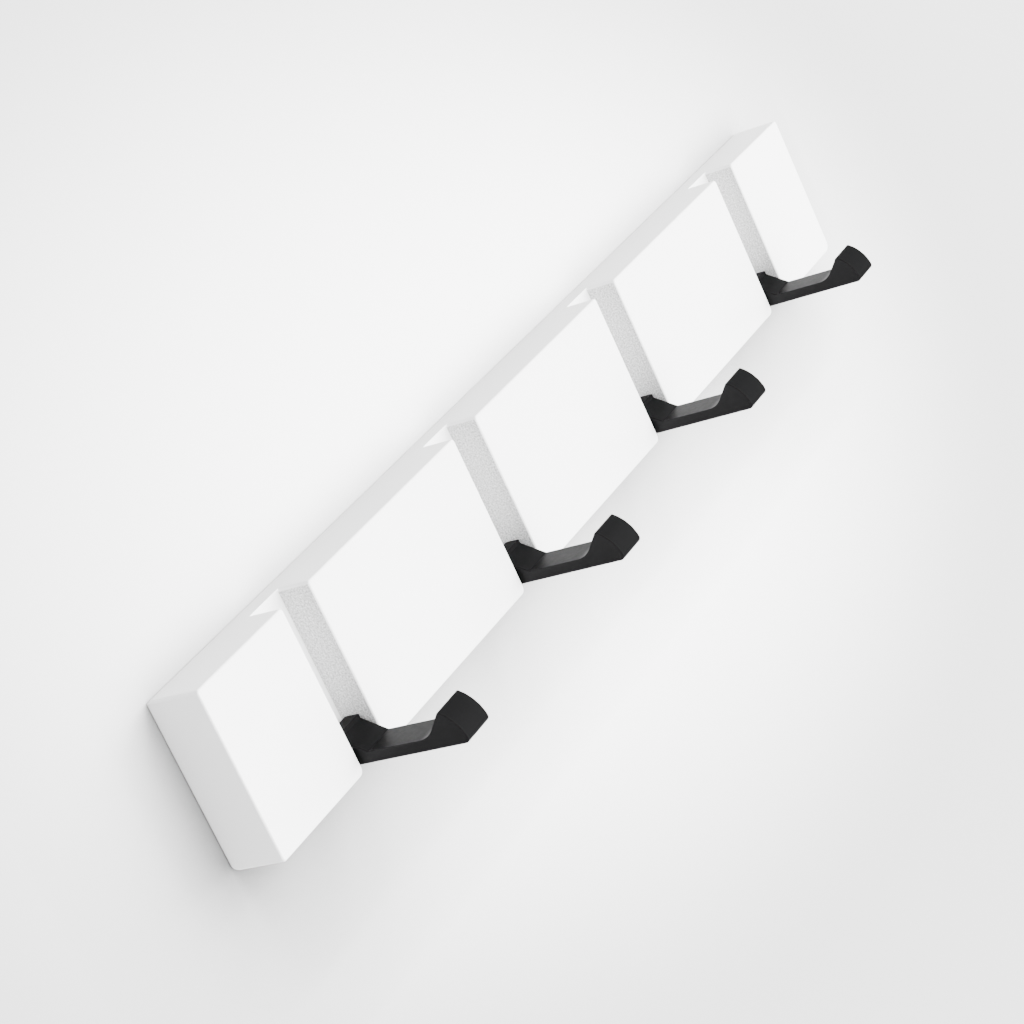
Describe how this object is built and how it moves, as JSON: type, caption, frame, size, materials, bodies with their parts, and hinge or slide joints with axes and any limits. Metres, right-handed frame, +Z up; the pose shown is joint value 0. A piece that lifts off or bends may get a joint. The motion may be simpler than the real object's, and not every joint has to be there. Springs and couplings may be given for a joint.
{
  "type": "folding wall hook rail",
  "caption": "White wall rail with open channels and black hooks that fold out for use and up flush into the front face.",
  "frame": {"origin": "centre of the rail's flat back face, half way along and half way up", "axes": "+X along the rail to the right of someone who faces it, +Y into the wall, +Z up"},
  "size_m": [0.52, 0.0671, 0.065],
  "materials": {
    "white_lacquer": "white satin lacquer on wood fibre board",
    "black_coat": "black satin coating on a die casting",
    "steel": "bright zinc plating",
    "white_plastic": "white moulded, matt",
    "washer_plastic": "black moulded, matt"
  },
  "bodies": {
    "rail": {"rail_body": "white_lacquer", "hinge_pin_1": "steel", "hinge_retainer_1": "white_plastic", "hinge_pin_2": "steel", "hinge_retainer_2": "white_plastic", "hinge_pin_3": "steel", "hinge_retainer_3": "white_plastic", "hinge_pin_4": "steel", "hinge_retainer_4": "white_plastic", "keyhole_hanger_left": "steel", "keyhole_hanger_right": "steel", "hanger_screws": "steel"},
    "hook_1": {"hook_1": "black_coat", "friction_washers_1": "washer_plastic"},
    "hook_2": {"hook_2": "black_coat", "friction_washers_2": "washer_plastic"},
    "hook_3": {"hook_3": "black_coat", "friction_washers_3": "washer_plastic"},
    "hook_4": {"hook_4": "black_coat", "friction_washers_4": "washer_plastic"}
  },
  "joints": [
    {"name": "hook_1_fold", "type": "hinge", "parent": "rail", "child": "hook_1", "pos_m": [-0.195, -0.015, -0.0229], "axis": [-1, 0, 0], "range_deg": [0, 90]},
    {"name": "hook_2_fold", "type": "hinge", "parent": "rail", "child": "hook_2", "pos_m": [-0.065, -0.015, -0.0229], "axis": [-1, 0, 0], "range_deg": [0, 90]},
    {"name": "hook_3_fold", "type": "hinge", "parent": "rail", "child": "hook_3", "pos_m": [0.065, -0.015, -0.0229], "axis": [-1, 0, 0], "range_deg": [0, 90]},
    {"name": "hook_4_fold", "type": "hinge", "parent": "rail", "child": "hook_4", "pos_m": [0.195, -0.015, -0.0229], "axis": [-1, 0, 0], "range_deg": [0, 90]}
  ]
}
